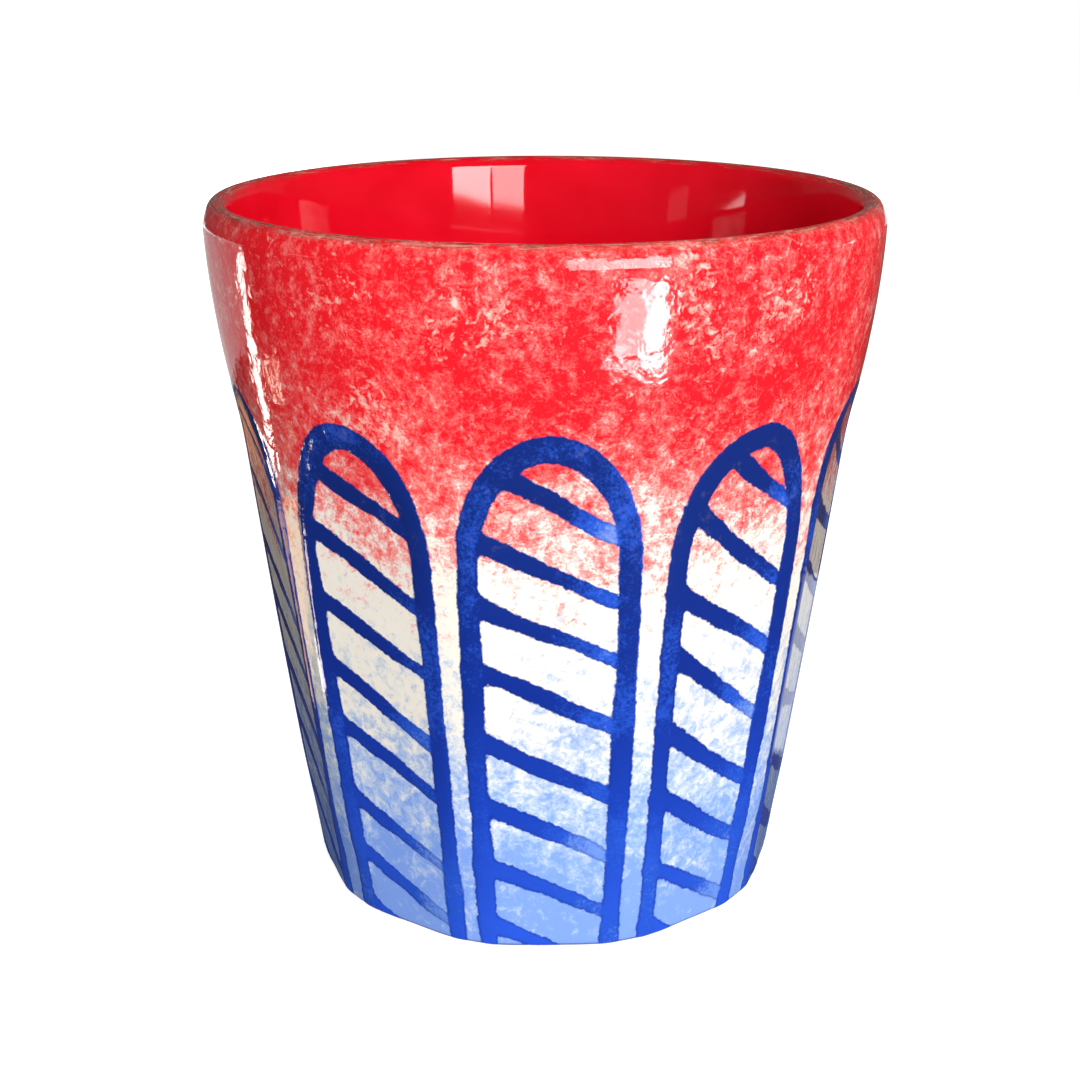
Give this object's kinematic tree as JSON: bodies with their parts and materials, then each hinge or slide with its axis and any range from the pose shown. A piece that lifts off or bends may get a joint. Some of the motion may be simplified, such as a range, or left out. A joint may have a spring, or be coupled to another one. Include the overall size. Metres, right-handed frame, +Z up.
{
  "type": "tapered ceramic cup",
  "caption": "Tapered ceramic drinking cup without handles, with arch-topped flats, a round band at the rim, a red lining, a sponged glaze and painted cobalt arches.",
  "frame": {"origin": "on the ground in the middle of the foot", "axes": "+Z up along the cup's axis, -Y out of the middle of one flat"},
  "size_m": [0.0902, 0.0902, 0.095],
  "materials": {
    "fired_clay": "matt white earthenware, bare on the foot ring",
    "sponged_glaze": "glossy, sponged red at the rim, cream in the middle and light blue at the foot",
    "red_glaze": "glossy plain red",
    "cream_glaze": "glossy cream",
    "cobalt_paint": "brushed cobalt blue under gloss, watery at the ends of the strokes"
  },
  "bodies": {
    "root": {"clay_body": "fired_clay", "outer_glaze": "sponged_glaze", "liner_glaze": "red_glaze", "base_glaze": "cream_glaze", "arch_outlines": "cobalt_paint", "hatch_strokes": "cobalt_paint"}
  },
  "joints": []
}
